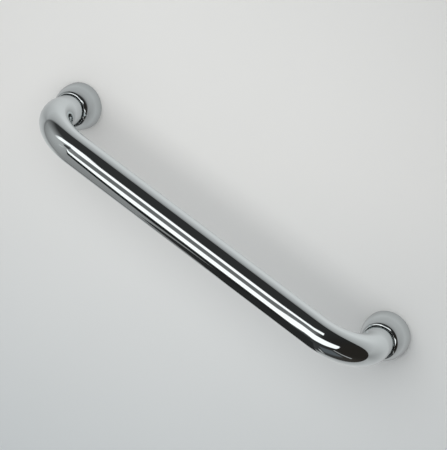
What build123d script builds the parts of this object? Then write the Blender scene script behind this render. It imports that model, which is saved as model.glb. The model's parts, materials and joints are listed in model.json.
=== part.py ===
from build123d import *

import math
import os

# Grab rail: one bent tube on two feet, each foot hidden by a loose domed cover.
# Units are millimetres. +X runs along the bar, +Z stands away from the mounting
# surface, and the origin is on that surface, midway between the two feet.

# Driving dimensions of the rail
FOOT_SPACING = 305.0
RAIL_HEIGHT = 80.0
TUBE_DIAMETER = 25.0
TUBE_WALL = 1.5
BEND_RADIUS = 38.0

# Driving dimensions of the domed cover
COVER_DIAMETER = 38.0
COVER_WALL = 0.9
COVER_RIM_Z = 0.3
DOME_START_Z = 2.0
DOME_RADIUS = 31.0
SHOULDER_RADIUS = 3.2
NECK_SLOPE_RADIUS = 5.5
NECK_SLOPE_START = 60.0
NECK_SLOPE_END = 68.0
NECK_BORE_RADIUS = 13.0

# Driving dimensions of the hidden foot
GASKET_THICKNESS = 1.0
PLATE_DIAMETER = 34.0
PLATE_THICKNESS = 2.5
PLATE_CHAMFER = 0.3
BOLT_CLEARANCE_RADIUS = 4.5
PLUG_CLEARANCE = 0.05
PLUG_LENGTH = 20.5
PLUG_CHAMFER = 1.0
INSERT_RADIUS = 6.0
INSERT_LENGTH = 16.0
INSERT_CHAMFER = 0.5
INSERT_POCKET_DEPTH = 17.0
THREAD_BORE_RADIUS = 3.4
O_RING_SECTION_RADIUS = 0.8
O_RING_COVER_CLEARANCE = 0.05

# Driving dimensions of the small screws
SET_SCREW_RADIUS = 2.5
SET_SCREW_LENGTH = 5.0
SET_SCREW_Z = 7.2
SET_SCREW_HOLE_CLEARANCE = 0.1
SET_SCREW_SETBACK = 0.1
SET_SCREW_POCKET_EXTRA = 0.2
SET_SCREW_SOCKET_RADIUS = 1.45
SET_SCREW_SOCKET_DEPTH = 2.4
SET_SCREW_CHAMFER = 0.4
PLATE_SCREW_RADIUS = 1.5
PLATE_SCREW_LENGTH = 8.0
PLATE_SCREW_CIRCLE_RADIUS = 8.2
PLATE_SCREW_HEAD_RADIUS = 2.8
PLATE_SCREW_HEAD_HEIGHT = 1.3
PLATE_SCREW_SOCKET_RADIUS = 1.15
PLATE_SCREW_SOCKET_DEPTH = 0.9

# Driving dimensions of the neck ring between cover and tube
NECK_RING_TOP_Z = 18.2
NECK_RING_BOTTOM_Z = 15.8
NECK_RING_FLANGE_HEIGHT = 1.0
NECK_RING_FLANGE_RADIUS = 13.8
NECK_RING_TUBE_CLEARANCE = 0.1
NECK_RING_COVER_CLEARANCE = 0.1
NECK_RING_EDGE_RADIUS = 0.1

# Sizes that follow from the driving dimensions
TUBE_RADIUS = TUBE_DIAMETER / 2
TUBE_BORE_RADIUS = TUBE_RADIUS - TUBE_WALL
BAR_AXIS_Z = RAIL_HEIGHT - TUBE_RADIUS
PLATE_BOTTOM_Z = GASKET_THICKNESS
PLATE_TOP_Z = PLATE_BOTTOM_Z + PLATE_THICKNESS
PLATE_RADIUS = PLATE_DIAMETER / 2
PLUG_RADIUS = TUBE_BORE_RADIUS - PLUG_CLEARANCE
COVER_RADIUS = COVER_DIAMETER / 2
FOOT_X = {"left": -FOOT_SPACING / 2, "right": FOOT_SPACING / 2}


def ring(outer_radius, inner_radius, bottom_z, top_z):
    """A flat washer-like ring round the Z axis."""
    height = top_z - bottom_z
    on_floor = (Align.CENTER, Align.CENTER, Align.MIN)
    outer = Cylinder(outer_radius, height, align=on_floor)
    inner = Cylinder(inner_radius, height, align=on_floor)
    return Pos(0, 0, bottom_z) * (outer - inner)


def rod(radius, bottom_z, top_z):
    """A solid round bar on the Z axis."""
    on_floor = (Align.CENTER, Align.CENTER, Align.MIN)
    return Pos(0, 0, bottom_z) * Cylinder(radius, top_z - bottom_z, align=on_floor)


def circle_edges_at(solid, z, radius):
    """The circular edges of one radius that lie at one height."""
    edges = solid.edges().filter_by(GeomType.CIRCLE)
    return [
        edge
        for edge in edges
        if abs(edge.center().Z - z) < 1e-3 and abs(edge.radius - radius) < 1e-3
    ]


def radial_drill(radius, inner_end, outer_end):
    """A round bar along +Y at the height of the set screws."""
    length = outer_end - inner_end
    bar = Cylinder(radius, length, align=(Align.CENTER, Align.CENTER, Align.MIN))
    return Pos(0, inner_end, SET_SCREW_Z) * Rot(-90, 0, 0) * bar


def both_sides(shape):
    """The shape and its copy turned half a turn about the Z axis."""
    return [shape, Rot(0, 0, 180) * shape]


def rail_path():
    """Centre line of the bent tube, from the left foot to the right foot."""
    half = FOOT_SPACING / 2
    return FilletPolyline(
        (-half, 0, PLATE_TOP_Z),
        (-half, 0, BAR_AXIS_Z),
        (half, 0, BAR_AXIS_Z),
        (half, 0, PLATE_TOP_Z),
        radius=BEND_RADIUS,
    )


def make_rail_tube():
    """Hollow tube with two bends and a set screw hole on each side of each leg."""
    path = rail_path()
    end = Plane(origin=path @ 0, z_dir=path % 0)
    outside = sweep(end * Circle(TUBE_RADIUS), path=path)
    inside = sweep(end * Circle(TUBE_BORE_RADIUS), path=path)
    tube = outside - inside
    hole_radius = SET_SCREW_RADIUS + SET_SCREW_HOLE_CLEARANCE
    hole = radial_drill(hole_radius, PLUG_RADIUS - TUBE_WALL, TUBE_RADIUS + TUBE_WALL)
    for x in FOOT_X.values():
        for drill in both_sides(hole):
            tube -= Pos(x, 0, 0) * drill
    return tube


def make_base_gasket():
    """Rubber disc under the base plate, with a hole for the fixing bolt."""
    return ring(PLATE_RADIUS, BOLT_CLEARANCE_RADIUS, 0, GASKET_THICKNESS)


def plate_screw_blank():
    """A countersunk screw on the Z axis, its flat head level with the plate."""
    head_bottom = PLATE_BOTTOM_Z
    head_top = head_bottom + PLATE_SCREW_HEAD_HEIGHT
    head = Cone(
        PLATE_SCREW_HEAD_RADIUS,
        PLATE_SCREW_RADIUS,
        PLATE_SCREW_HEAD_HEIGHT,
        align=(Align.CENTER, Align.CENTER, Align.MIN),
    )
    shank = rod(PLATE_SCREW_RADIUS, head_top, head_bottom + PLATE_SCREW_LENGTH)
    return Pos(0, 0, head_bottom) * head + shank


def plate_screw_places():
    """Two places for the plate screws, one on each side along X."""
    return [Pos(side * PLATE_SCREW_CIRCLE_RADIUS, 0, 0) for side in (-1, 1)]


def o_ring_centre_radius():
    """Radius of the o-ring's centre line, just clear of the cover's inner wall."""
    inner_wall = COVER_RADIUS - COVER_WALL
    return inner_wall - O_RING_COVER_CLEARANCE - O_RING_SECTION_RADIUS


def make_rim_o_ring():
    """Rubber ring in the rim groove of the base plate; it grips the cover."""
    middle_z = (PLATE_BOTTOM_Z + PLATE_TOP_Z) / 2
    return Pos(0, 0, middle_z) * Torus(o_ring_centre_radius(), O_RING_SECTION_RADIUS)


def make_base_plate():
    """Round steel plate with a rim groove and two countersunk screw holes."""
    plate = ring(PLATE_RADIUS, BOLT_CLEARANCE_RADIUS, PLATE_BOTTOM_Z, PLATE_TOP_Z)
    rim = circle_edges_at(plate, PLATE_TOP_Z, PLATE_RADIUS)
    rim += circle_edges_at(plate, PLATE_BOTTOM_Z, PLATE_RADIUS)
    plate = chamfer(rim, PLATE_CHAMFER)
    plate -= make_rim_o_ring()
    for place in plate_screw_places():
        plate -= place * plate_screw_blank()
    return plate


def make_foot_plug():
    """Turned plug in the tube's end, drilled for the insert and the screws."""
    top_z = PLATE_TOP_Z + PLUG_LENGTH
    plug = rod(PLUG_RADIUS, PLATE_TOP_Z, top_z)
    plug = chamfer(circle_edges_at(plug, top_z, PLUG_RADIUS), PLUG_CHAMFER)
    plug -= rod(INSERT_RADIUS, PLATE_TOP_Z, PLATE_TOP_Z + INSERT_POCKET_DEPTH)
    pocket_end = TUBE_RADIUS - SET_SCREW_SETBACK - SET_SCREW_LENGTH - SET_SCREW_POCKET_EXTRA
    pocket = radial_drill(SET_SCREW_RADIUS, pocket_end, TUBE_RADIUS)
    for drill in both_sides(pocket):
        plug -= drill
    for place in plate_screw_places():
        plug -= place * plate_screw_blank()
    return plug


def make_threaded_insert():
    """Steel bush pressed into the plug; its bore takes the fixing bolt."""
    top_z = PLATE_TOP_Z + INSERT_LENGTH
    insert = ring(INSERT_RADIUS, THREAD_BORE_RADIUS, PLATE_TOP_Z, top_z)
    return chamfer(circle_edges_at(insert, top_z, INSERT_RADIUS), INSERT_CHAMFER)


def hexagon_pocket(corner_radius, depth):
    """A hexagonal socket standing on the XY plane."""
    return extrude(RegularPolygon(corner_radius, 6), depth)


def set_screw():
    """One headless screw along +Y, its hexagon socket facing outwards."""
    body = rod(SET_SCREW_RADIUS, 0, SET_SCREW_LENGTH)
    ends = circle_edges_at(body, 0, SET_SCREW_RADIUS)
    body = chamfer(ends, SET_SCREW_CHAMFER)
    socket_bottom = SET_SCREW_LENGTH - SET_SCREW_SOCKET_DEPTH
    socket = hexagon_pocket(SET_SCREW_SOCKET_RADIUS, SET_SCREW_SOCKET_DEPTH)
    body -= Pos(0, 0, socket_bottom) * socket
    inner_end = TUBE_RADIUS - SET_SCREW_SETBACK - SET_SCREW_LENGTH
    return Pos(0, inner_end, SET_SCREW_Z) * Rot(-90, 0, 0) * body


def make_set_screws():
    """The two set screws that lock the tube to the plug."""
    return Compound(children=both_sides(set_screw()))


def make_plate_screws():
    """The two countersunk screws that hold the base plate to the plug."""
    socket = hexagon_pocket(PLATE_SCREW_SOCKET_RADIUS, PLATE_SCREW_SOCKET_DEPTH)
    screw = plate_screw_blank() - Pos(0, 0, PLATE_BOTTOM_Z) * socket
    return Compound(children=[place * screw for place in plate_screw_places()])


def on_circle(centre, radius, angle):
    """The point of a circle in the section plane at an angle in degrees."""
    turn = math.radians(angle)
    return (centre[0] + radius * math.cos(turn), centre[1] + radius * math.sin(turn))


def cover_arc_centres():
    """Centres of the dome, shoulder and neck slope arcs, and the dome's end angle.

    Each arc meets the next one smoothly, and the slope ends at the neck bore.
    """
    dome = (COVER_RADIUS - DOME_RADIUS, DOME_START_Z)
    slope_r = on_circle((NECK_BORE_RADIUS, 0), -NECK_SLOPE_RADIUS, NECK_SLOPE_END)[0]
    reach = NECK_SLOPE_RADIUS - SHOULDER_RADIUS
    shoulder_r = on_circle((slope_r, 0), reach, NECK_SLOPE_START)[0]
    gap = DOME_RADIUS - SHOULDER_RADIUS
    dome_end = math.degrees(math.acos((shoulder_r - dome[0]) / gap))
    shoulder = on_circle(dome, gap, dome_end)
    slope = on_circle(shoulder, -reach, NECK_SLOPE_START)
    return dome, shoulder, slope, dome_end


def cover_skin(depth):
    """The cover's profile at a depth below its outer face, from the side to the neck."""
    dome, shoulder, slope, dome_end = cover_arc_centres()
    slope_radius = NECK_SLOPE_RADIUS - depth
    slope_end = math.degrees(math.acos((NECK_BORE_RADIUS - slope[0]) / slope_radius))
    arcs = [
        CenterArc(dome, DOME_RADIUS - depth, 0, dome_end),
        CenterArc(shoulder, SHOULDER_RADIUS - depth, dome_end, NECK_SLOPE_START - dome_end),
        CenterArc(slope, slope_radius, NECK_SLOPE_START, slope_end - NECK_SLOPE_START),
    ]
    return arcs, on_circle(slope, slope_radius, slope_end)


def cover_section():
    """Half section of the cover: straight side, dome, shoulder and sloping neck edge."""
    outer = COVER_RADIUS
    inner = COVER_RADIUS - COVER_WALL
    outer_skin, outer_end = cover_skin(0)
    inner_skin, inner_end = cover_skin(COVER_WALL)
    outline = [
        Line((inner, COVER_RIM_Z), (outer, COVER_RIM_Z)),
        Line((outer, COVER_RIM_Z), (outer, DOME_START_Z)),
        Line(outer_end, inner_end),
        Line((inner, DOME_START_Z), (inner, COVER_RIM_Z)),
    ]
    return Plane.XZ * make_face(Curve() + outline + outer_skin + inner_skin)


def make_cover():
    """Thin domed cover that hides the foot and slides up the leg."""
    return revolve(cover_section(), Axis.Z)


def make_neck_ring():
    """Black ring in the cover's neck: a thin sleeve with a flange below the lip."""
    inner = TUBE_RADIUS + NECK_RING_TUBE_CLEARANCE
    sleeve_radius = NECK_BORE_RADIUS - NECK_RING_COVER_CLEARANCE
    flange_top = NECK_RING_BOTTOM_Z + NECK_RING_FLANGE_HEIGHT
    flange = ring(NECK_RING_FLANGE_RADIUS, inner, NECK_RING_BOTTOM_Z, flange_top)
    sleeve = ring(sleeve_radius, inner, flange_top, NECK_RING_TOP_Z)
    body = flange + sleeve
    top_edge = circle_edges_at(body, NECK_RING_TOP_Z, sleeve_radius)
    return fillet(top_edge, NECK_RING_EDGE_RADIUS)


FOOT_PIECES = {
    "base_gasket": make_base_gasket,
    "base_plate": make_base_plate,
    "rim_o_ring": make_rim_o_ring,
    "foot_plug": make_foot_plug,
    "threaded_insert": make_threaded_insert,
    "plate_screws": make_plate_screws,
    "set_screws": make_set_screws,
    "neck_ring": make_neck_ring,
    "cover": make_cover,
}


def main():
    """Write every piece of the rail as its own STEP file."""
    os.makedirs("parts", exist_ok=True)
    export_step(make_rail_tube(), "parts/rail_tube.step")
    for piece, make in FOOT_PIECES.items():
        shape = make()
        for side, x in FOOT_X.items():
            export_step(Pos(x, 0, 0) * shape, f"parts/{side}_{piece}.step")


main()
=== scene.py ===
import json
import math

import bmesh
import bpy
from mathutils import Matrix, Vector


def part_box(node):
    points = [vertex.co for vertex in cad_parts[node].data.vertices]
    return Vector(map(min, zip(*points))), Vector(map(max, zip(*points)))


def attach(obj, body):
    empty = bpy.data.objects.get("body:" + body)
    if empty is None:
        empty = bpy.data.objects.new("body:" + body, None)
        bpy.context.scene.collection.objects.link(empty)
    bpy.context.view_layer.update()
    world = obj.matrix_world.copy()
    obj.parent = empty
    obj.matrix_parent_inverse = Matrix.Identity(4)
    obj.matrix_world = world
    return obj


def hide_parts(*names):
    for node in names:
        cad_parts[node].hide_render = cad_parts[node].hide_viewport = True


# Looks for the grab rail. Units are metres. +X runs along the bar, +Z stands away
# from the surface, and the origin is midway between the two feet.

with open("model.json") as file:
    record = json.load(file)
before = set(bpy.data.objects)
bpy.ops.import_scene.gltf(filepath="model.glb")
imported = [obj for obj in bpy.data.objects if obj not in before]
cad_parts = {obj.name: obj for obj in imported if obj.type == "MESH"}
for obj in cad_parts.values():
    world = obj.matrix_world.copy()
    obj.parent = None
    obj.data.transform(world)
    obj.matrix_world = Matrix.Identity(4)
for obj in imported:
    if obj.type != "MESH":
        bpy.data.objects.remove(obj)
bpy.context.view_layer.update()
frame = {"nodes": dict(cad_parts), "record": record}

MM = 0.001
SIDES = ("left", "right")

# Tube sizes that the frame's boxes don't show
TUBE_RADIUS = 12.5 * MM
TUBE_WALL = 1.5 * MM
BEND_RADIUS = 38 * MM
SET_SCREW_HOLE_RADIUS = 2.6 * MM
SET_SCREW_Z = 7.2 * MM
DRILL_LENGTH = 3 * TUBE_RADIUS

# Cover sizes that the frame's boxes don't show. The neck's slope is an arc between
# two angles above the horizontal, in degrees.
COVER_WALL = 0.9 * MM
DOME_START_Z = 2.0 * MM
DOME_RADIUS = 31 * MM
SHOULDER_RADIUS = 3.2 * MM
NECK_SLOPE_RADIUS = 5.5 * MM
NECK_SLOPE_START = 60
NECK_SLOPE_END = 68
NECK_BORE_RADIUS = 13.0 * MM
NECK_EDGE_ROUND = 0.1 * MM
RIM_ROUND = 0.2 * MM

# Sizes and places that the frame gives
mounts = {mount["name"]: mount["pos_m"] for mount in frame["record"]["mounts"]}
tube_low, tube_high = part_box("rail_tube")
cover_low, cover_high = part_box("left_cover")
HALF_SPACING = mounts["right_fixing_hole"][0]
FOOT_X = {"left": -HALF_SPACING, "right": HALF_SPACING}
BAR_AXIS_Z = tube_high.z - TUBE_RADIUS
LEG_BOTTOM_Z = tube_low.z
COVER_RADIUS = (cover_high.x - cover_low.x) / 2
COVER_RIM_Z = cover_low.z

# Fineness of the meshes
TUBE_SIDES = 192
LEG_STEPS = 9
BEND_STEPS = 96
BAR_STEPS = 24
DRILL_SIDES = 64
COVER_SIDES = 256
RIM_STEPS = 6
DOME_STEPS = 48
SHOULDER_STEPS = 16
SLOPE_STEPS = 8
EDGE_STEPS = 8
INNER_SLOPE_STEPS = 4
INNER_SHOULDER_STEPS = 12
SHARP_ANGLE = math.radians(40)

# Plain white, noise that isn't stretched, and the span that noise mostly stays in
WHITE = (1, 1, 1)
EVEN = (1, 1, 1)
NOISE_LOW = 0.3
NOISE_HIGH = 0.7

# Chrome: a faint haze, and hairline marks that run along the tube
CHROME_TONES = ((0.84, 0.90, 0.905), (0.855, 0.91, 0.915))
CHROME_ROUGHNESS = (0.02, 0.05)
HAZE_SCALE = 60
HAIRLINE_SCALE = 2500
HAIRLINE_STRENGTH = 0.02
HAIRLINE_DEPTH = 0.01 * MM
TUBE_HAIRLINE_STRETCH = (0.05, 1, 1)

# Surfaces of the hidden parts
GROOVE_STRENGTH = 0.25
GROOVE_DEPTH = 0.03 * MM
GRAIN_STRENGTH = 0.1
GRAIN_DEPTH = 0.1 * MM

# The floor that the camera sees. Its colour goes from white to a cooler, darker one between two
# distances from the origin along a level way: painted shade that darkens and cools the floor
# towards -Y.
FLOOR_REACH = 12
FLOOR_TONES = ((0.765, 0.765, 0.755), (0.775, 0.775, 0.765))
FLOOR_PATCH_SCALE = 6
FLOOR_ROUGHNESS = 0.9
PAINTED_SHADE_TINT = (0.862, 0.905, 0.934)
PAINTED_SHADE_WAY = (0.45, -0.89, 0)
PAINTED_SHADE_START = -0.05
PAINTED_SHADE_END = 0.28

# The floor that the chrome shows, a painted reflection: two corners (x, y), its glow, which is
# painted light, and its satin sheen
PAINTED_REFLECTION_LOW = (-6, -6)
PAINTED_REFLECTION_HIGH = (0.45, 6)
PAINTED_REFLECTION_GLOW = 0.60
SHEEN_GREY = 0.5
SHEEN_ROUGHNESS = 0.4

# How the sheen grows from straight down (0) to the horizon (1)
SHEEN_AT_HORIZON = 0.97
SHEEN_STOPS = ((0.234, 0.12), (0.47, 0.32), (0.724, 0.46), (0.896, 0.60), (0.965, 0.93))

# Painted shade on that floor: a band under the bar, a ring round each cover, and a softer one
# whose middle is a little behind the cover. Each is a share of light that goes from low to high
# between two distances.
BAR_SHADE_Y = -0.005
BAR_SHADE = {"low": 0.74, "high": 1, "start": 0.015, "end": 0.068}
COVER_SHADE = {"low": 0.66, "high": 1.10, "start": 0.019, "end": 0.031}
BACK_SHADE_Y = -0.02
BACK_SHADE = {"low": 0.72, "high": 1, "start": 0.008, "end": 0.035}

# A painted reflection of a dim room: a glowing sphere that only the chrome shows and that lights
# nothing. Its glow depends on the direction from the origin, whose parts x, y and z run from -1
# to 1.
ROOM_RADIUS = 9.0
ROOM_SUBDIVISIONS = 5
ROOM_GLOW = {"low": 0.018, "high": 0.034, "start": 0.5, "end": -0.5}
ROOM_BACK_GLOW = {"low": 0, "high": 0.02, "start": -0.2, "end": -0.8}
WARM = (1.12, 0.98, 0.86)
WARM_SIDE = {"low": 0, "high": 1, "start": 0.3, "end": 0.8}

# The room's painted pale wall lies towards -X. It is brighter higher up and where a direction
# points straight at it, begins where a direction turns to it, and fades out to +Y.
PALE_WALL_WAY = (-0.985, 0.17)
PALE_WALL_GLOW = 0.20
PALE_WALL_RISE = 0.39
PALE_WALL_DROP = -0.033
PALE_WALL_START = {"low": 0, "high": 1, "start": 0, "end": 0.03}
PALE_WALL_FADE = {"low": 1, "high": 0, "start": 0, "end": 0.56}

# Light that reaches the floor and doesn't show in the chrome
WORLD_COLOUR = (0.96, 0.985, 1.0)
WORLD_STRENGTH = 0.48
KEY_PLACE = Vector((-0.095, 0.085, 0.560))
KEY_TARGET = Vector((-0.07, -0.36, 0))
KEY_SIZE = 0.60
KEY_POWER = 2.27
KEY_COLOUR = (1.0, 0.99, 0.97)

# Level glowing strips overhead, painted reflections that only the chrome shows: stations of x,
# middle y and half width. Strips at BEHIND_HEIGHT and BACK_HEIGHT show only where no lower strip
# covers them.
PANEL_HEIGHT = 1.0
BEHIND_HEIGHT = 1.01
BACK_HEIGHT = 1.02
UPPER_PANEL = (
    (-1.55, 0.17, 0.14),
    (-1.10, 0.38, 0.27),
    (-0.47, 0.59, 0.225),
    (-0.41, 0.43, 0.18),
    (-0.24, 0.455, 0.185),
    (-0.085, 0.47, 0.20),
    (-0.03, 0.66, 0.20),
    (0.32, 0.85, 0.24),
    (0.34, 0.86, 0.22),
)
LOWER_PANEL = (
    (-0.52, -0.11, 0.03),
    (-0.49, -0.13, 0.05),
    (-0.44, -0.222, 0.108),
    (-0.41, -0.297, 0.163),
    (-0.39, -0.355, 0.215),
    (-0.36, -0.392, 0.258),
    (-0.30, -0.39, 0.272),
    (-0.06, -0.35, 0.285),
    (-0.02, -0.16, 0.30),
    (0.14, -0.175, 0.315),
    (0.48, -0.07, 0.31),
    (0.93, 0.14, 0.265),
    (1.03, 0.27, 0.17),
    (1.12, 0.41, 0.04),
)
PANEL_GAP = (
    (-0.46, 0.12, 0.30),
    (-0.38, 0.05, 0.33),
    (-0.07, 0.09, 0.33),
    (-0.02, 0.33, 0.30),
    (0.34, 0.40, 0.30),
)
DARK_FRAME = (
    (-0.53, -0.26, 0.03),
    (-0.50, -0.28, 0.06),
    (-0.485, -0.50, 0.28),
    (-0.47, -0.80, 0.54),
    (-0.455, -0.89, 0.62),
    (-0.40, -0.89, 0.53),
    (-0.355, -0.86, 0.48),
    (-0.30, -0.92, 0.52),
    (-0.20, -0.94, 0.55),
    (-0.10, -0.90, 0.50),
    (0.10, -0.75, 0.42),
)
DARK_STRIP = (
    (-0.74, 0.09, 0.05),
    (-0.66, 0.10, 0.11),
    (-0.46, 0.14, 0.16),
    (-0.42, 0.14, 0.16),
)
FAINT_PANEL = (
    (-1.05, -0.43, 0.05),
    (-0.89, -0.35, 0.09),
    (-0.71, -0.24, 0.07),
    (-0.58, -0.14, 0.04),
)

# Upright glowing cards and lights, painted reflections that only the lower side of the bar and
# the right bend show: stations of x, y, bottom z and top z.
DARK_CARD = (
    (-0.082, -0.15, 0.085, 0.095),
    (-0.068, -0.15, 0.075, 0.118),
    (-0.045, -0.15, 0.060, 0.145),
    (-0.03, -0.15, 0.050, 0.160),
    (-0.012, -0.15, 0.040, 0.175),
    (0.0, -0.15, 0.015, 0.185),
    (0.01, -0.15, 0.0, 0.190),
    (0.03, -0.15, 0.0, 0.200),
    (0.06, -0.15, 0.0, 0.22),
    (0.125, -0.15, 0.0, 0.21),
    (0.130, -0.15, 0.0, 0.21),
)
GREY_CARD = (
    (-0.21, -0.152, 0.0, 0.072),
    (-0.16, -0.152, 0.0, 0.072),
    (-0.01, -0.152, 0.0, 0.072),
    (0.0, -0.152, 0.0, 0.072),
)
BLUE_CARD = (
    (0.40, -1.12, 0.36, 1.10),
    (0.46, -1.10, 0.34, 1.20),
    (0.95, -0.80, 0.34, 1.30),
    (1.06, -0.70, 0.40, 1.30),
)
BLUE = (0.92, 1.0, 1.08)
NEAR_LIGHT = (
    (0.27, -0.99, 0.08, 0.45),
    (0.29, -0.99, 0.08, 0.45),
    (0.33, -0.98, 0.08, 0.45),
    (0.35, -0.98, 0.08, 0.45),
)
FAR_LIGHT = (
    (0.98, -0.54, 0.22, 1.15),
    (0.99, -0.52, 0.22, 1.15),
    (1.02, -0.47, 0.22, 1.15),
    (1.03, -0.45, 0.22, 1.15),
)

# The camera looks from +X +Y, high above the rail.
CAMERA_AZIMUTH = math.radians(64.503)
CAMERA_ELEVATION = math.radians(61.238)
CAMERA_ROLL = math.radians(31.011)
CAMERA_DISTANCE = 1.32786
CAMERA_TARGET = Vector((-0.00145, -0.00897, 0))
CAMERA_SENSOR = 36.0
CAMERA_LENS = 136.377
CAMERA_CLIP_END = 50


# ---------------------------------------------------------------- mesh helpers


def add_object(name, data):
    """A new object in the scene."""
    thing = bpy.data.objects.new(name, data)
    bpy.context.scene.collection.objects.link(thing)
    return thing


def smooth(mesh):
    """Shades a mesh smooth and keeps its real edges sharp."""
    mesh.shade_smooth()
    mesh.set_sharp_from_angle(angle=SHARP_ANGLE)


def add_smooth_object(name, bm):
    """A new smooth shaded object from a bmesh."""
    bmesh.ops.recalc_face_normals(bm, faces=bm.faces)
    mesh = bpy.data.meshes.new(name)
    bm.to_mesh(mesh)
    bm.free()
    smooth(mesh)
    return add_object(name, mesh)


def join_rings(bm, rings):
    """Quads between neighbouring rings of vertices, and from the last to the first."""
    for first, second in zip(rings, rings[1:] + rings[:1]):
        for i in range(len(first)):
            j = (i + 1) % len(first)
            bm.faces.new((first[i], first[j], second[j], second[i]))


def lathe(name, section, centre_x, sides):
    """A closed section of (radius, z) points turned about a vertical axis."""
    bm = bmesh.new()
    rings = []
    for radius, z in section:
        ring = []
        for i in range(sides):
            turn = 2 * math.pi * i / sides
            x = centre_x + radius * math.cos(turn)
            ring.append(bm.verts.new((x, radius * math.sin(turn), z)))
        rings.append(ring)
    join_rings(bm, rings)
    return add_smooth_object(name, bm)


def arc(centre, radius, start, end, steps):
    """Points of a circular arc in a section, from one angle to another, in degrees."""
    points = []
    for i in range(steps + 1):
        angle = math.radians(start + (end - start) * i / steps)
        x = centre[0] + radius * math.cos(angle)
        points.append((x, centre[1] + radius * math.sin(angle)))
    return points


# ------------------------------------------------------------------- rail tube


def rail_stations():
    """Centre points and directions along the tube, from the left foot to the right."""
    leg_top = BAR_AXIS_Z - BEND_RADIUS
    bar_end = HALF_SPACING - BEND_RADIUS
    up = Vector((0, 0, 1))
    along = Vector((1, 0, 0))
    left = []
    for i in range(LEG_STEPS):
        z = LEG_BOTTOM_Z + (leg_top - LEG_BOTTOM_Z) * i / LEG_STEPS
        left.append((Vector((-HALF_SPACING, 0, z)), up))
    for i in range(BEND_STEPS + 1):
        turn = math.pi / 2 * i / BEND_STEPS
        x = -bar_end - BEND_RADIUS * math.cos(turn)
        z = leg_top + BEND_RADIUS * math.sin(turn)
        left.append((Vector((x, 0, z)), up * math.cos(turn) + along * math.sin(turn)))
    bar = []
    for i in range(1, BAR_STEPS):
        x = -bar_end + 2 * bar_end * i / BAR_STEPS
        bar.append((Vector((x, 0, BAR_AXIS_Z)), along))
    right = [
        (Vector((-point.x, 0, point.z)), Vector((way.x, 0, -way.z)))
        for point, way in reversed(left)
    ]
    return left + bar + right


def station_ring(bm, station, radius):
    """A ring of vertices square to the tube's direction at one station."""
    point, way = station
    side = Vector((0, 1, 0))
    other = way.cross(side)
    ring = []
    for i in range(TUBE_SIDES):
        turn = 2 * math.pi * i / TUBE_SIDES
        offset = side * math.cos(turn) + other * math.sin(turn)
        ring.append(bm.verts.new(point + radius * offset))
    return ring


def make_drill():
    """Two rods from front to back, one through each leg."""
    bm = bmesh.new()
    lie_down = Matrix.Rotation(math.pi / 2, 4, "X")
    for x in FOOT_X.values():
        bmesh.ops.create_cone(
            bm,
            cap_ends=True,
            segments=DRILL_SIDES,
            radius1=SET_SCREW_HOLE_RADIUS,
            radius2=SET_SCREW_HOLE_RADIUS,
            depth=DRILL_LENGTH,
            matrix=Matrix.Translation((x, 0, SET_SCREW_Z)) @ lie_down,
        )
    return add_smooth_object("drill", bm)


def drill_set_screw_holes(tube):
    """Four round holes through the legs' walls, on the front and back of each leg."""
    drill = make_drill()
    cut = tube.modifiers.new("set_screw_holes", "BOOLEAN")
    cut.operation = "DIFFERENCE"
    cut.solver = "EXACT"
    cut.object = drill
    depsgraph = bpy.context.evaluated_depsgraph_get()
    drilled = bpy.data.meshes.new_from_object(tube.evaluated_get(depsgraph))
    tube.modifiers.clear()
    tube.data = drilled
    smooth(drilled)
    bpy.data.objects.remove(drill)


def make_rail():
    """The bent tube: outer wall, bore, cut ends and set screw holes."""
    stations = rail_stations()
    bm = bmesh.new()
    rings = [station_ring(bm, station, TUBE_RADIUS) for station in stations]
    rings += [
        station_ring(bm, station, TUBE_RADIUS - TUBE_WALL)
        for station in reversed(stations)
    ]
    join_rings(bm, rings)
    tube = add_smooth_object("bent_rail", bm)
    drill_set_screw_holes(tube)
    return tube


# ---------------------------------------------------------------------- covers


def cover_arc_centres():
    """Centres of the dome, shoulder and neck slope arcs, and the dome's end angle."""
    dome = (COVER_RADIUS - DOME_RADIUS, DOME_START_Z)
    slope_end = math.radians(NECK_SLOPE_END)
    slope_r = NECK_BORE_RADIUS - NECK_SLOPE_RADIUS * math.cos(slope_end)
    reach = NECK_SLOPE_RADIUS - SHOULDER_RADIUS
    start = math.radians(NECK_SLOPE_START)
    gap = DOME_RADIUS - SHOULDER_RADIUS
    dome_end = math.acos((slope_r + reach * math.cos(start) - dome[0]) / gap)
    shoulder = (dome[0] + gap * math.cos(dome_end), dome[1] + gap * math.sin(dome_end))
    slope = (slope_r, shoulder[1] - reach * math.sin(start))
    return dome, shoulder, slope, math.degrees(dome_end)


def neck_edge(slope):
    """The neck's rounded edge: its centre, and the angle where the slope meets it."""
    edge_r = NECK_BORE_RADIUS + 2 * NECK_EDGE_ROUND
    turn = math.acos((edge_r - slope[0]) / NECK_SLOPE_RADIUS)
    gap = NECK_SLOPE_RADIUS - NECK_EDGE_ROUND
    centre = (slope[0] + gap * math.cos(turn), slope[1] + gap * math.sin(turn))
    return centre, math.degrees(turn)


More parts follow.
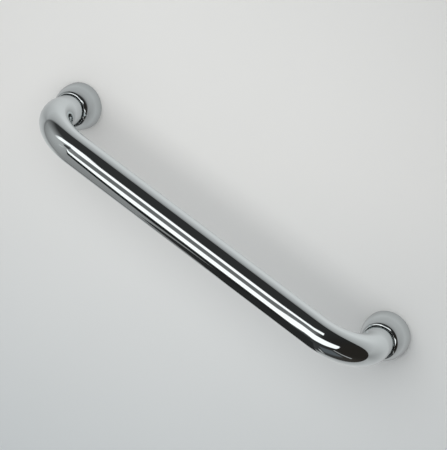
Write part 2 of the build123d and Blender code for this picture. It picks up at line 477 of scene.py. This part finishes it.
def cover_section():
    """Closed half section of the cover: side, dome, shoulder, neck edge and inner wall."""
    inner = COVER_RADIUS - COVER_WALL
    rim_z = COVER_RIM_Z + RIM_ROUND
    dome, shoulder, slope, dome_end = cover_arc_centres()
    edge, slope_end = neck_edge(slope)
    inner_dome = DOME_RADIUS - COVER_WALL
    inner_shoulder = SHOULDER_RADIUS - COVER_WALL
    inner_slope = NECK_SLOPE_RADIUS - COVER_WALL
    inner_end = math.degrees(math.acos((edge[0] - NECK_EDGE_ROUND - slope[0]) / inner_slope))
    section = arc((inner + RIM_ROUND, rim_z), RIM_ROUND, 180, 270, RIM_STEPS)
    section += arc((COVER_RADIUS - RIM_ROUND, rim_z), RIM_ROUND, 270, 360, RIM_STEPS)
    section += arc(dome, DOME_RADIUS, 0, dome_end, DOME_STEPS)
    section += arc(shoulder, SHOULDER_RADIUS, dome_end, NECK_SLOPE_START, SHOULDER_STEPS)[1:]
    section += arc(slope, NECK_SLOPE_RADIUS, NECK_SLOPE_START, slope_end, SLOPE_STEPS)[1:]
    section += arc(edge, NECK_EDGE_ROUND, slope_end, 180, EDGE_STEPS)[1:]
    section += arc(slope, inner_slope, inner_end, NECK_SLOPE_START, INNER_SLOPE_STEPS)
    section += arc(shoulder, inner_shoulder, NECK_SLOPE_START, dome_end, INNER_SHOULDER_STEPS)[1:]
    section += arc(dome, inner_dome, dome_end, 0, DOME_STEPS)[1:]
    return section


def make_cover(side):
    """One domed cover round its leg."""
    return lathe(f"{side}_dome_cover", cover_section(), FOOT_X[side], COVER_SIDES)


# --------------------------------------------------------------- shader helpers


def new_material(name):
    """A node material and its main shader."""
    material = bpy.data.materials.new(name)
    material.use_nodes = True
    return material, material.node_tree, material.node_tree.nodes["Principled BSDF"]


def empty_material(name):
    """A node material without any nodes."""
    material = bpy.data.materials.new(name)
    material.use_nodes = True
    material.node_tree.nodes.clear()
    return material, material.node_tree


def own_place(tree):
    """A point's place in the piece's own coordinates."""
    return tree.nodes.new("ShaderNodeTexCoord").outputs["Object"]


def parts_of(tree, vector):
    """The x, y and z of a vector."""
    parts = tree.nodes.new("ShaderNodeSeparateXYZ")
    tree.links.new(vector, parts.inputs[0])
    return parts.outputs


def level_vector(tree, x, y):
    """The vector (x, y, 0)."""
    vector = tree.nodes.new("ShaderNodeCombineXYZ")
    tree.links.new(x, vector.inputs[0])
    tree.links.new(y, vector.inputs[1])
    return vector.outputs[0]


def math_node(tree, operation, first, second):
    """A math node on two values, each a socket or a number."""
    node = tree.nodes.new("ShaderNodeMath")
    node.operation = operation
    for slot, value in enumerate((first, second)):
        if isinstance(value, (int, float)):
            node.inputs[slot].default_value = value
        else:
            tree.links.new(value, node.inputs[slot])
    return node.outputs[0]


def vector_math(tree, operation, vector, other):
    """A number worked out from a vector and a fixed one."""
    node = tree.nodes.new("ShaderNodeVectorMath")
    node.operation = operation
    node.inputs[1].default_value = other
    tree.links.new(vector, node.inputs[0])
    return node.outputs["Value"]


def distance_from(tree, place, centre):
    """Distance of a place from a fixed point."""
    return vector_math(tree, "DISTANCE", place, centre)


def direction_of(tree, place):
    """The direction from the origin to a place, as a unit vector."""
    node = tree.nodes.new("ShaderNodeVectorMath")
    node.operation = "NORMALIZE"
    tree.links.new(place, node.inputs[0])
    return node.outputs["Vector"]


def remap(tree, value, low, high, start=NOISE_LOW, end=NOISE_HIGH):
    """A value stretched from start..end, which is noise's usual span, to low..high."""
    node = tree.nodes.new("ShaderNodeMapRange")
    node.inputs["From Min"].default_value = start
    node.inputs["From Max"].default_value = end
    node.inputs["To Min"].default_value = low
    node.inputs["To Max"].default_value = high
    tree.links.new(value, node.inputs["Value"])
    return node.outputs["Result"]


def mix_colours(tree, value, first, second):
    """A colour that runs from the first to the second as value goes from 0 to 1."""
    node = tree.nodes.new("ShaderNodeMix")
    node.data_type = "RGBA"
    node.inputs["A"].default_value = (*first, 1)
    node.inputs["B"].default_value = (*second, 1)
    tree.links.new(value, node.inputs["Factor"])
    return node.outputs["Result"]


def multiply_colours(tree, first, second):
    """The product of two colours."""
    node = tree.nodes.new("ShaderNodeMix")
    node.data_type = "RGBA"
    node.blend_type = "MULTIPLY"
    node.inputs["Factor"].default_value = 1
    tree.links.new(first, node.inputs["A"])
    tree.links.new(second, node.inputs["B"])
    return node.outputs["Result"]


def mix_shaders(tree, share, first, second):
    """The first shader where share is 0, and the second where it is 1."""
    mix = tree.nodes.new("ShaderNodeMixShader")
    tree.links.new(share, mix.inputs[0])
    tree.links.new(first.outputs[0], mix.inputs[1])
    tree.links.new(second.outputs[0], mix.inputs[2])
    return mix


def use_shader(tree, shader):
    """Makes a shader the material's surface."""
    output = tree.nodes.new("ShaderNodeOutputMaterial")
    tree.links.new(shader.outputs[0], output.inputs["Surface"])


def noise_at(tree, place, scale, detail):
    """Noise at a place, in features per metre."""
    texture = tree.nodes.new("ShaderNodeTexNoise")
    texture.inputs["Scale"].default_value = scale
    texture.inputs["Detail"].default_value = detail
    tree.links.new(place, texture.inputs["Vector"])
    return texture.outputs["Fac"]


def noise(tree, scale, detail, stretch=EVEN):
    """Noise over the piece's own coordinates, longer along an axis with a low stretch."""
    mapping = tree.nodes.new("ShaderNodeMapping")
    mapping.inputs["Scale"].default_value = stretch
    tree.links.new(own_place(tree), mapping.inputs["Vector"])
    return noise_at(tree, mapping.outputs["Vector"], scale, detail)


def bump(tree, height, strength, distance):
    """A bump normal from a height value."""
    node = tree.nodes.new("ShaderNodeBump")
    node.inputs["Strength"].default_value = strength
    node.inputs["Distance"].default_value = distance
    tree.links.new(height, node.inputs["Height"])
    return node.outputs["Normal"]


# -------------------------------------------------------------------- materials


def chrome(name, stretch):
    """Mirror chrome with a faint haze and hairline marks."""
    material, tree, shader = new_material(name)
    haze = noise(tree, HAZE_SCALE, detail=5)
    hairlines = noise(tree, HAIRLINE_SCALE, detail=2, stretch=stretch)
    tone = mix_colours(tree, remap(tree, haze, 0, 1), *CHROME_TONES)
    normal = bump(tree, hairlines, HAIRLINE_STRENGTH, HAIRLINE_DEPTH)
    shader.inputs["Metallic"].default_value = 1
    tree.links.new(tone, shader.inputs["Base Color"])
    tree.links.new(remap(tree, haze, *CHROME_ROUGHNESS), shader.inputs["Roughness"])
    tree.links.new(normal, shader.inputs["Normal"])
    return material


def turned(name, axis_x, tones, rings, rough):
    """Metal turned on a lathe: fine grooves round a foot's vertical axis."""
    material, tree, shader = new_material(name)
    x, y, z = parts_of(tree, own_place(tree))
    radius = distance_from(tree, level_vector(tree, x, y), (axis_x, 0, 0))
    groove = noise_at(tree, level_vector(tree, radius, z), rings, detail=3)
    tone = mix_colours(tree, remap(tree, groove, 0, 1), *tones)
    shader.inputs["Metallic"].default_value = 1
    tree.links.new(tone, shader.inputs["Base Color"])
    tree.links.new(remap(tree, groove, *rough), shader.inputs["Roughness"])
    tree.links.new(bump(tree, groove, GROOVE_STRENGTH, GROOVE_DEPTH), shader.inputs["Normal"])
    return material


def grained(name, tones, scale, rough, metallic=0):
    """A material whose colour, roughness and bump follow one fine noise."""
    material, tree, shader = new_material(name)
    grain = noise(tree, scale, detail=5)
    tone = mix_colours(tree, remap(tree, grain, 0, 1), *tones)
    shader.inputs["Metallic"].default_value = metallic
    tree.links.new(tone, shader.inputs["Base Color"])
    tree.links.new(remap(tree, grain, *rough), shader.inputs["Roughness"])
    tree.links.new(bump(tree, grain, GRAIN_STRENGTH, GRAIN_DEPTH), shader.inputs["Normal"])
    return material


def gasket_rubber():
    """Matt black sheet rubber."""
    tones = ((0.018, 0.018, 0.019), (0.034, 0.034, 0.035))
    return grained("gasket_rubber", tones, scale=1800, rough=(0.6, 0.8))


def o_ring_rubber():
    """Smooth black moulded rubber."""
    tones = ((0.012, 0.012, 0.013), (0.020, 0.020, 0.021))
    return grained("o_ring_rubber", tones, scale=900, rough=(0.3, 0.42))


def neck_ring_nylon():
    """Black nylon."""
    tones = ((0.012, 0.012, 0.013), (0.02, 0.02, 0.021))
    return grained("neck_ring_nylon", tones, scale=2500, rough=(0.35, 0.5))


def screw_steel():
    """Zinc plated steel."""
    tones = ((0.50, 0.50, 0.49), (0.64, 0.64, 0.63))
    return grained("screw_steel", tones, scale=2200, rough=(0.22, 0.38), metallic=1)


def plate_steel(side):
    """Turned stainless steel of one foot's base plate."""
    tones = ((0.52, 0.51, 0.50), (0.66, 0.65, 0.64))
    return turned(f"{side}_plate_steel", FOOT_X[side], tones, rings=3000, rough=(0.25, 0.4))


def plug_aluminium(side):
    """Turned aluminium of one foot's plug."""
    tones = ((0.72, 0.72, 0.73), (0.83, 0.83, 0.84))
    return turned(f"{side}_plug_aluminium", FOOT_X[side], tones, rings=2200, rough=(0.3, 0.45))


def insert_steel(side):
    """Turned steel of one foot's threaded insert, a little yellower."""
    tones = ((0.46, 0.45, 0.42), (0.58, 0.57, 0.53))
    return turned(f"{side}_insert_steel", FOOT_X[side], tones, rings=4000, rough=(0.25, 0.4))


# ------------------------------------------------------------------------ floor


def reflected_only(thing):
    """Makes a thing show in the polished metal and nowhere else."""
    thing.visible_camera = False
    thing.visible_diffuse = False
    thing.visible_transmission = False
    thing.visible_volume_scatter = False
    thing.visible_shadow = False


def flat_sheet(name, low, high):
    """One flat face on the floor between two corners."""
    corners = [
        (low[0], low[1], 0),
        (high[0], low[1], 0),
        (high[0], high[1], 0),
        (low[0], high[1], 0),
    ]
    mesh = bpy.data.meshes.new(name)
    mesh.from_pydata(corners, [], [(0, 1, 2, 3)])
    return add_object(name, mesh)


def floor_pale():
    """A pale matt surface, very slightly patchy, with painted shade that turns it cooler and
    darker towards -Y.
    """
    material, tree, shader = new_material("floor_pale")
    patch = noise(tree, FLOOR_PATCH_SCALE, detail=3)
    tone = mix_colours(tree, remap(tree, patch, 0, 1), *FLOOR_TONES)
    # Painted shade: the floor grows darker and cooler along this way.
    along = vector_math(tree, "DOT_PRODUCT", own_place(tree), PAINTED_SHADE_WAY)
    share = remap(tree, along, 0, 1, PAINTED_SHADE_START, PAINTED_SHADE_END)
    painted_shade = mix_colours(tree, share, WHITE, PAINTED_SHADE_TINT)
    tree.links.new(multiply_colours(tree, tone, painted_shade), shader.inputs["Base Color"])
    shader.inputs["Roughness"].default_value = FLOOR_ROUGHNESS
    shader.inputs["Specular IOR Level"].default_value = 0
    return material


def make_floor():
    """The pale floor that the camera sees."""
    floor = flat_sheet("floor", (-FLOOR_REACH, -FLOOR_REACH), (FLOOR_REACH, FLOOR_REACH))
    floor.data.materials.append(floor_pale())
    floor.visible_glossy = False


def floor_shade(tree):
    """Painted shade on the reflected floor's glow: less beside each cover and under the bar."""
    place = own_place(tree)
    y = parts_of(tree, place)["Y"]
    from_bar = math_node(tree, "ABSOLUTE", math_node(tree, "SUBTRACT", y, BAR_SHADE_Y), 0)
    shade = remap(tree, from_bar, **BAR_SHADE)
    for foot_x in FOOT_X.values():
        from_leg = distance_from(tree, place, (foot_x, 0, 0))
        from_back = distance_from(tree, place, (foot_x, BACK_SHADE_Y, 0))
        beside = remap(tree, from_leg, **COVER_SHADE)
        behind = remap(tree, from_back, **BACK_SHADE)
        shade = math_node(tree, "MULTIPLY", shade, math_node(tree, "MULTIPLY", beside, behind))
    return shade


def grey(share):
    """An opaque grey."""
    return (share, share, share, 1)


def sheen_share(tree):
    """How much of the floor's look is sheen, by the angle at which it is seen."""
    facing = tree.nodes.new("ShaderNodeLayerWeight")
    facing.inputs["Blend"].default_value = 0.5
    curve = tree.nodes.new("ShaderNodeValToRGB")
    stops = curve.color_ramp.elements
    stops[0].color = grey(0)
    stops[1].color = grey(SHEEN_AT_HORIZON)
    for place, share in SHEEN_STOPS:
        stops.new(place).color = grey(share)
    tree.links.new(facing.outputs["Facing"], curve.inputs[0])
    return curve.outputs["Color"]


def painted_floor_reflection():
    """The same floor as the chrome shows it: a painted glow with painted shade, mixed into a
    satin sheen so that it dims towards its far edges.
    """
    material, tree = empty_material("painted_floor_reflection")
    painted_glow = tree.nodes.new("ShaderNodeEmission")
    # Painted light: the floor's brightness as a glow, darkened by painted shade.
    glow = math_node(tree, "MULTIPLY", floor_shade(tree), PAINTED_REFLECTION_GLOW)
    tree.links.new(glow, painted_glow.inputs["Strength"])
    sheen = tree.nodes.new("ShaderNodeBsdfGlossy")
    sheen.inputs["Color"].default_value = grey(SHEEN_GREY)
    sheen.inputs["Roughness"].default_value = SHEEN_ROUGHNESS
    use_shader(tree, mix_shaders(tree, sheen_share(tree), painted_glow, sheen))
    return material


def make_reflected_floor():
    """The floor that the chrome shows: a painted reflection, a glowing sheet seen nowhere else.
    """
    floor = flat_sheet("reflected_floor", PAINTED_REFLECTION_LOW, PAINTED_REFLECTION_HIGH)
    floor.data.materials.append(painted_floor_reflection())
    reflected_only(floor)


# --------------------------------------------------- painted reflections: things that the chrome shows


def glow_material(name, strength, tint):
    """A glow that fades out where the mesh's fade value falls to 0."""
    material, tree = empty_material(name)
    emission = tree.nodes.new("ShaderNodeEmission")
    emission.inputs["Color"].default_value = (*tint, 1)
    emission.inputs["Strength"].default_value = strength
    clear = tree.nodes.new("ShaderNodeBsdfTransparent")
    fade = tree.nodes.new("ShaderNodeAttribute")
    fade.attribute_name = "fade"
    use_shader(tree, mix_shaders(tree, fade.outputs["Fac"], clear, emission))
    return material


def glow_strip(name, lines, glow, soft, tint):
    """A glowing strip through cross lines (low corner, high corner), soft at its edges."""
    shares = (0.0, soft, 1.0 - soft, 1.0)
    rows = len(shares)
    corners = []
    fades = []
    for place, (low, high) in enumerate(lines):
        at_end = place in (0, len(lines) - 1)
        for row, share in enumerate(shares):
            corners.append(Vector(low).lerp(Vector(high), share))
            fades.append(0.0 if at_end or row in (0, rows - 1) else 1.0)
    faces = []
    for i in range(len(lines) - 1):
        for row in range(rows - 1):
            first = rows * i + row
            faces.append((first, first + 1, first + rows + 1, first + rows))
    mesh = bpy.data.meshes.new(name)
    mesh.from_pydata(corners, [], faces)
    mesh.attributes.new("fade", "FLOAT", "POINT").data.foreach_set("value", fades)
    mesh.materials.append(glow_material(name, glow, tint))
    reflected_only(add_object(name, mesh))


def overhead(name, height, stations, glow, soft):
    """A level white strip overhead from stations (x, middle y, half width)."""
    lines = [((x, y - half, height), (x, y + half, height)) for x, y, half in stations]
    glow_strip(name, lines, glow, soft, WHITE)


def upright(name, stations, glow, soft, tint=WHITE):
    """An upright card from stations (x, y, bottom z, top z)."""
    lines = [((x, y, bottom), (x, y, top)) for x, y, bottom, top in stations]
    glow_strip(name, lines, glow, soft, tint)


def make_painted_reflections():
    """Painted reflections: bright and dark glowing strips and cards that light nothing, each soft
    for a share of its width at its edges.
    """
    overhead("upper_panel", PANEL_HEIGHT, UPPER_PANEL, glow=1.15, soft=0.15)
    overhead("lower_panel", PANEL_HEIGHT, LOWER_PANEL, glow=1.15, soft=0.08)
    overhead("panel_gap", BEHIND_HEIGHT, PANEL_GAP, glow=0.145, soft=0.05)
    overhead("dark_frame", BACK_HEIGHT, DARK_FRAME, glow=0.015, soft=0.1)
    overhead("dark_strip", BEHIND_HEIGHT, DARK_STRIP, glow=0.03, soft=0.2)
    overhead("faint_panel", PANEL_HEIGHT, FAINT_PANEL, glow=0.55, soft=0.4)
    upright("dark_card", DARK_CARD, glow=0.022, soft=0.02)
    upright("grey_card", GREY_CARD, glow=0.20, soft=0.03)
    upright("blue_card", BLUE_CARD, glow=0.105, soft=0.2, tint=BLUE)
    upright("near_light", NEAR_LIGHT, glow=0.38, soft=0.05)
    upright("far_light", FAR_LIGHT, glow=0.38, soft=0.05)


def pale_wall_glow(tree, x, y, z):
    """Painted glow of the room's pale wall in a direction."""
    side = math_node(
        tree,
        "ADD",
        math_node(tree, "MULTIPLY", x, PALE_WALL_WAY[0]),
        math_node(tree, "MULTIPLY", y, PALE_WALL_WAY[1]),
    )
    rise = math_node(tree, "MULTIPLY", side, PALE_WALL_RISE)
    rise = math_node(tree, "ADD", rise, PALE_WALL_DROP)
    rise = math_node(tree, "MULTIPLY", math_node(tree, "MAXIMUM", z, 0), rise)
    pale = math_node(tree, "ADD", rise, PALE_WALL_GLOW)
    pale = math_node(tree, "MULTIPLY", pale, remap(tree, side, **PALE_WALL_START))
    return math_node(tree, "MULTIPLY", pale, remap(tree, y, **PALE_WALL_FADE))


def painted_room_reflection():
    """Painted reflection of the room's walls: dim, warmer towards +X, with the pale wall towards
    -X.
    """
    material, tree = empty_material("painted_room_reflection")
    x, y, z = parts_of(tree, direction_of(tree, own_place(tree)))
    level = remap(tree, x, **ROOM_GLOW)
    dim = math_node(tree, "ADD", level, remap(tree, y, **ROOM_BACK_GLOW))
    emission = tree.nodes.new("ShaderNodeEmission")
    glow = math_node(tree, "ADD", dim, pale_wall_glow(tree, x, y, z))
    tree.links.new(glow, emission.inputs["Strength"])
    colour = mix_colours(tree, remap(tree, x, **WARM_SIDE), WHITE, WARM)
    tree.links.new(colour, emission.inputs["Color"])
    use_shader(tree, emission)
    return material


def make_room():
    """A round room, a painted reflection seen only in the polished metal."""
    bm = bmesh.new()
    bmesh.ops.create_icosphere(bm, subdivisions=ROOM_SUBDIVISIONS, radius=ROOM_RADIUS)
    mesh = bpy.data.meshes.new("painted_room_reflection")
    bm.to_mesh(mesh)
    bm.free()
    mesh.materials.append(painted_room_reflection())
    reflected_only(add_object("painted_room_reflection", mesh))


# ------------------------------------------------------------- light and camera


def make_world():
    """Pale soft light from all round that the polished metal doesn't show."""
    scene = bpy.context.scene
    world = bpy.data.worlds.new("studio")
    world.use_nodes = True
    background = world.node_tree.nodes["Background"]
    background.inputs["Color"].default_value = (*WORLD_COLOUR, 1)
    background.inputs["Strength"].default_value = WORLD_STRENGTH
    world.cycles_visibility.glossy = False
    scene.world = world
    scene.view_settings.view_transform = "Standard"


def make_key_light():
    """A large soft light above that the polished metal doesn't show."""
    lamp = bpy.data.lights.new("key", "AREA")
    lamp.shape = "SQUARE"
    lamp.size = KEY_SIZE
    lamp.energy = KEY_POWER
    lamp.color = KEY_COLOUR
    holder = add_object("key", lamp)
    holder.location = KEY_PLACE
    holder.rotation_mode = "QUATERNION"
    holder.rotation_quaternion = (KEY_TARGET - KEY_PLACE).to_track_quat("-Z", "Y")
    holder.visible_glossy = False


def camera_turn(back):
    """The camera's rotation from the direction behind it, rolled so that the bar slants."""
    level_right = (-back).cross(Vector((0, 1, 0))).normalized()
    level_up = level_right.cross(-back)
    cos_roll = math.cos(CAMERA_ROLL)
    sin_roll = math.sin(CAMERA_ROLL)
    right = cos_roll * level_right + sin_roll * level_up
    up = -sin_roll * level_right + cos_roll * level_up
    return Matrix((right, up, back)).transposed().to_4x4()


def make_camera():
    """The camera, which looks steeply down at the whole rail."""
    cos_el = math.cos(CAMERA_ELEVATION)
    back = Vector((
        cos_el * math.cos(CAMERA_AZIMUTH),
        cos_el * math.sin(CAMERA_AZIMUTH),
        math.sin(CAMERA_ELEVATION),
    ))
    data = bpy.data.cameras.new("camera")
    data.sensor_fit = "HORIZONTAL"
    data.sensor_width = CAMERA_SENSOR
    data.lens = CAMERA_LENS
    data.clip_end = CAMERA_CLIP_END
    camera = add_object("camera", data)
    place = CAMERA_TARGET + CAMERA_DISTANCE * back
    camera.matrix_world = Matrix.Translation(place) @ camera_turn(back)
    bpy.context.scene.camera = camera


# ----------------------------------------------------------------------- pieces


def place_rail():
    """The finely meshed tube, in place of the CAD one."""
    rail = make_rail()
    rail.data.materials.append(chrome("polished_tube", TUBE_HAIRLINE_STRETCH))
    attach(rail, "rail")
    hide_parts("rail_tube")


def place_covers():
    """The finely meshed covers, in place of the CAD ones."""
    cover_chrome = chrome("polished_cover", EVEN)
    for side in SIDES:
        cover = make_cover(side)
        cover.data.materials.append(cover_chrome)
        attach(cover, f"{side}_dome")
        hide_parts(f"{side}_cover")


def dress(node, material):
    """Gives a CAD node that keeps its shape a better material."""
    piece = frame["nodes"][node]
    piece.data.materials.clear()
    piece.data.materials.append(material)


def dress_hidden_parts():
    """Materials of the parts inside the covers and legs."""
    gasket = gasket_rubber()
    o_ring = o_ring_rubber()
    nylon = neck_ring_nylon()
    zinc = screw_steel()
    for side in SIDES:
        dress(f"{side}_neck_ring", nylon)
        dress(f"{side}_base_gasket", gasket)
        dress(f"{side}_rim_o_ring", o_ring)
        dress(f"{side}_plate_screws", zinc)
        dress(f"{side}_set_screws", zinc)
        dress(f"{side}_base_plate", plate_steel(side))
        dress(f"{side}_foot_plug", plug_aluminium(side))
        dress(f"{side}_threaded_insert", insert_steel(side))


make_camera()
make_floor()
make_reflected_floor()
make_world()
make_room()
make_painted_reflections()
make_key_light()
place_rail()
place_covers()
dress_hidden_parts()
